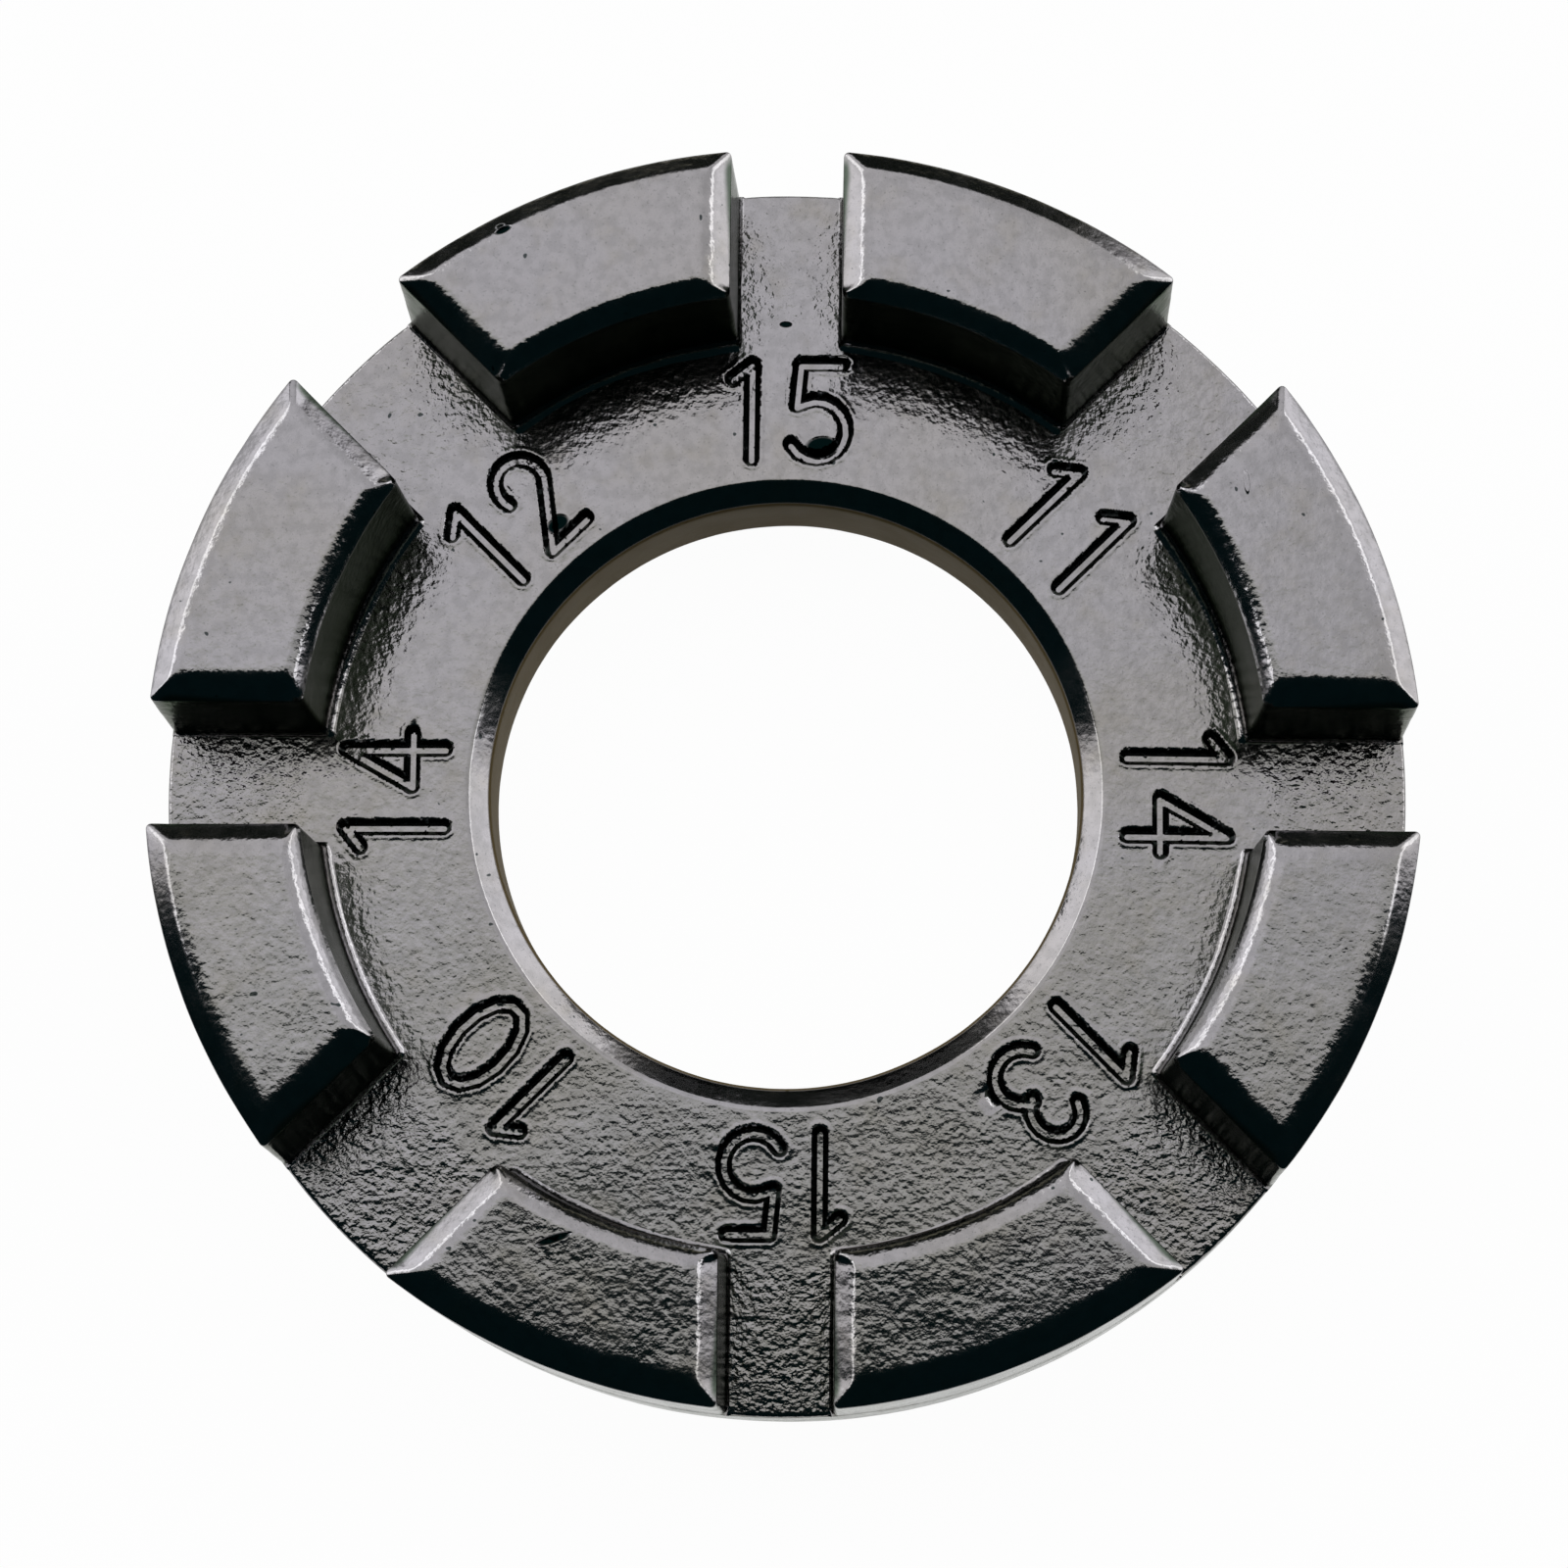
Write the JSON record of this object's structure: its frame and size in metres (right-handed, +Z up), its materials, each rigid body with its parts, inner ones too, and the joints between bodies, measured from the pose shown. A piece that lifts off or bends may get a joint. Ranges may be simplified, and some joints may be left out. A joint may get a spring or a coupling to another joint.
{
  "type": "spoke wrench",
  "caption": "Round cast spoke wrench: a ring with a finger hole and raised jaws, whose radial notches grip spoke nipples of different sizes.",
  "frame": {"origin": "centre of the flat underside, on the finger hole's axis", "axes": "+Z up through the finger hole, out of the jaws; +Y towards the notch for size 15 at the picture's top; +X towards the notch for size 14 at its right"},
  "size_m": [0.042, 0.042, 0.0101],
  "materials": {
    "plated_casting": "glossy dark plating over a fine cast texture"
  },
  "bodies": {
    "root": {"ring_base": "plated_casting", "jaw_15_11": "plated_casting", "jaw_11_14": "plated_casting", "jaw_14_13": "plated_casting", "jaw_13_15": "plated_casting", "jaw_15_10": "plated_casting", "jaw_10_14": "plated_casting", "jaw_14_12": "plated_casting", "jaw_12_15": "plated_casting"}
  },
  "joints": []
}
